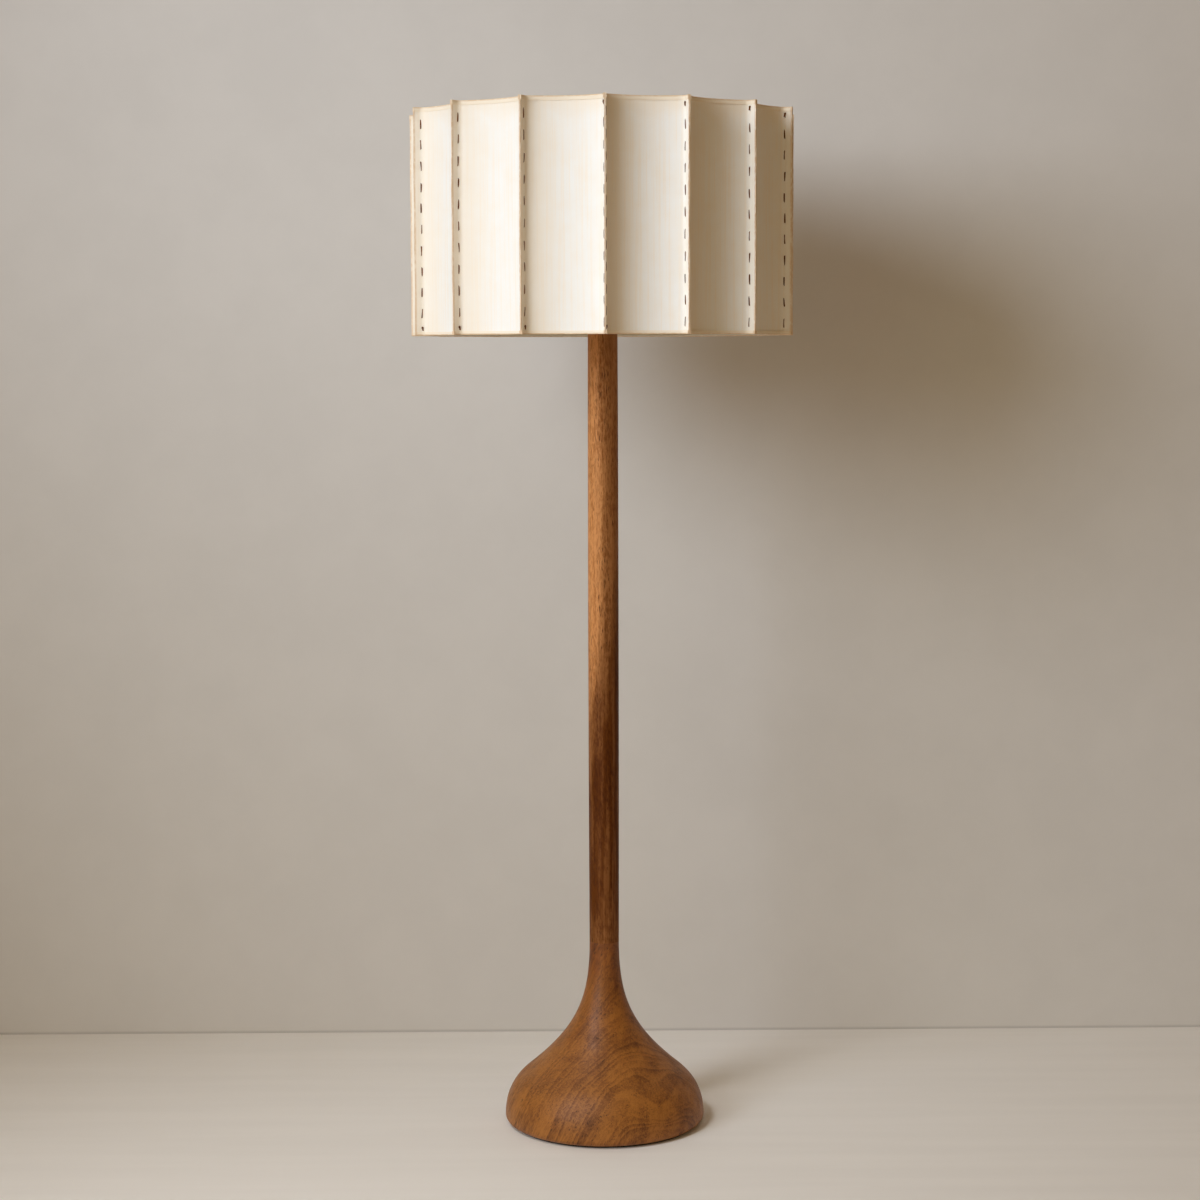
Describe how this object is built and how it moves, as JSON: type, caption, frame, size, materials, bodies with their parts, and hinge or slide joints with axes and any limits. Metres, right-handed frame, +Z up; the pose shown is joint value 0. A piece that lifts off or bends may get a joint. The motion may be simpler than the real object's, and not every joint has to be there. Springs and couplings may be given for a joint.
{
  "type": "floor lamp",
  "caption": "Floor lamp with a turned wood bell foot and slim post, and a drum shade of hollow fabric panels joined in outward stitched fins.",
  "frame": {"origin": "middle of the felt pad's underside, on the floor", "axes": "+Z up along the post, -Y to the front, where one seam fin of the shade points"},
  "size_m": [0.5634, 0.5603, 1.5087],
  "materials": {
    "foot_wood": "oiled satin, figured grain",
    "post_wood": "oiled satin, straight grain",
    "felt": "dense felt",
    "cast_iron": "sand cast, painted",
    "steel": "zinc plated",
    "bushing": "matt moulded",
    "brass": "satin lacquered",
    "plated_steel": "brass-plated wire",
    "fibre": "vulcanised fibre",
    "phenolic": "moulded phenolic",
    "cap_metal": "drawn and rolled",
    "solder": "dull solder",
    "black_glass": "fired glass",
    "opal_glass": "opal",
    "frame_wire": "ivory powder coat",
    "shade_cloth": "stiffened ivory cloth"
  },
  "bodies": {
    "stand": {"base_bell": "foot_wood", "base_pad": "felt", "base_weight": "cast_iron", "weight_screws": "steel", "cord_bushing": "bushing", "stem_pipe": "steel", "stem_washer": "steel", "stem_nut": "steel", "lock_nut": "brass", "post": "post_wood", "check_plate": "brass", "harp_saddle": "plated_steel", "socket_cap": "brass", "socket_shell": "brass", "socket_sleeve": "fibre", "socket_core": "phenolic", "terminal_screws": "brass", "screw_shell": "cap_metal", "centre_contact": "brass", "harp": "plated_steel"},
    "ferrule_left": {"ferrule_left": "plated_steel"},
    "ferrule_right": {"ferrule_right": "plated_steel"},
    "switch": {"switch_shaft": "steel", "switch_key": "phenolic"},
    "bulb": {"bulb_tip": "solder", "bulb_insulator": "black_glass", "bulb_cap": "cap_metal", "bulb_globe": "opal_glass"},
    "stud": {"harp_stud": "brass"},
    "shade": {"spider_hub": "frame_wire", "spider_arms": "frame_wire", "shade_top_ring": "frame_wire", "shade_bottom_ring": "frame_wire", "shade_ribs": "frame_wire", "shade_panel_01": "shade_cloth", "shade_panel_02": "shade_cloth", "shade_panel_03": "shade_cloth", "shade_panel_04": "shade_cloth", "shade_panel_05": "shade_cloth", "shade_panel_06": "shade_cloth", "shade_panel_07": "shade_cloth", "shade_panel_08": "shade_cloth", "shade_panel_09": "shade_cloth", "shade_panel_10": "shade_cloth", "shade_panel_11": "shade_cloth", "shade_panel_12": "shade_cloth", "shade_panel_13": "shade_cloth", "shade_panel_14": "shade_cloth", "shade_panel_15": "shade_cloth"},
    "finial": {"finial": "brass"}
  },
  "joints": [
    {"name": "harp_swivel", "type": "hinge", "parent": "stand", "child": "stud", "pos_m": [0, 0, 1.4789], "axis": [0, 0, 1], "continuous": true},
    {"name": "shade_lift", "type": "slide", "parent": "stud", "child": "shade", "axis": [0, 0, 1], "range_m": [0, 0.33]},
    {"name": "finial_unscrew", "type": "slide", "parent": "shade", "child": "finial", "axis": [0, 0, 1], "range_m": [0, 0.016]},
    {"name": "switch_turn", "type": "hinge", "parent": "stand", "child": "switch", "pos_m": [0, -0.04, 1.275], "axis": [0, -1, 0], "continuous": true},
    {"name": "bulb_unscrew", "type": "slide", "parent": "stand", "child": "bulb", "axis": [0, 0, 1], "range_m": [0, 0.026]},
    {"name": "ferrule_left_lift", "type": "slide", "parent": "stand", "child": "ferrule_left", "axis": [0, 0, 1], "range_m": [0, 0.012]},
    {"name": "ferrule_right_lift", "type": "slide", "parent": "stand", "child": "ferrule_right", "axis": [0, 0, 1], "range_m": [0, 0.012]}
  ]
}
